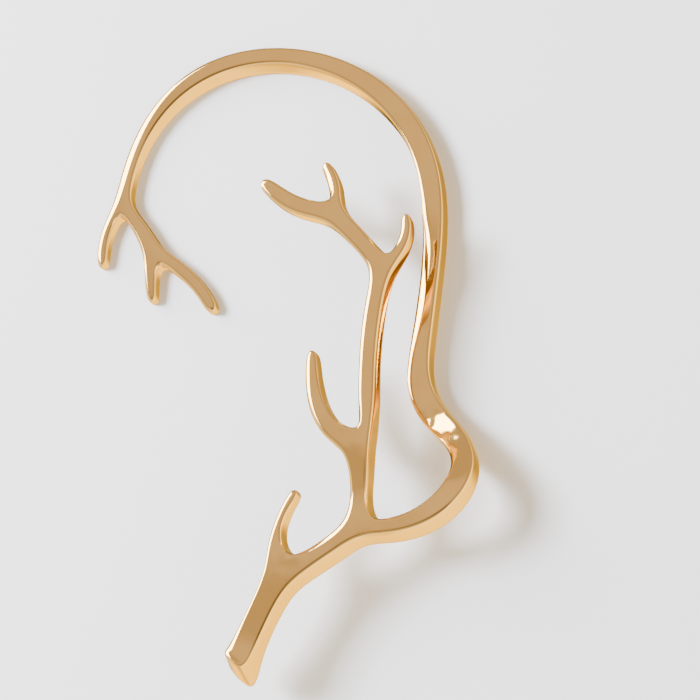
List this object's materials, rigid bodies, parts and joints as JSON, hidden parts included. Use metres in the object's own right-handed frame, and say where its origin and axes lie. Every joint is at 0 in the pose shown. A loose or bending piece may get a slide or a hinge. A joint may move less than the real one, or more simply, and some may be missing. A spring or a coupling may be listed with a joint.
{
  "type": "branch ear cuff",
  "caption": "Cast ear cuff in the form of a forked branch: a long hook rises behind the ear and arches over it, and a twigged upright lies in front of it.",
  "frame": {"origin": "centre of the bounding box's underside: the cuff lies on the flat back of its hook", "axes": "+Y from the stump towards the top of the arch, +Z out of the front branch, away from the wearer's head, +X towards the back of a left ear"},
  "size_m": [0.062, 0.0972, 0.0106],
  "materials": {
    "polished_gold": "polished gold plating over a casting"
  },
  "bodies": {
    "root": {"branch_ear_cuff": "polished_gold"}
  },
  "joints": []
}
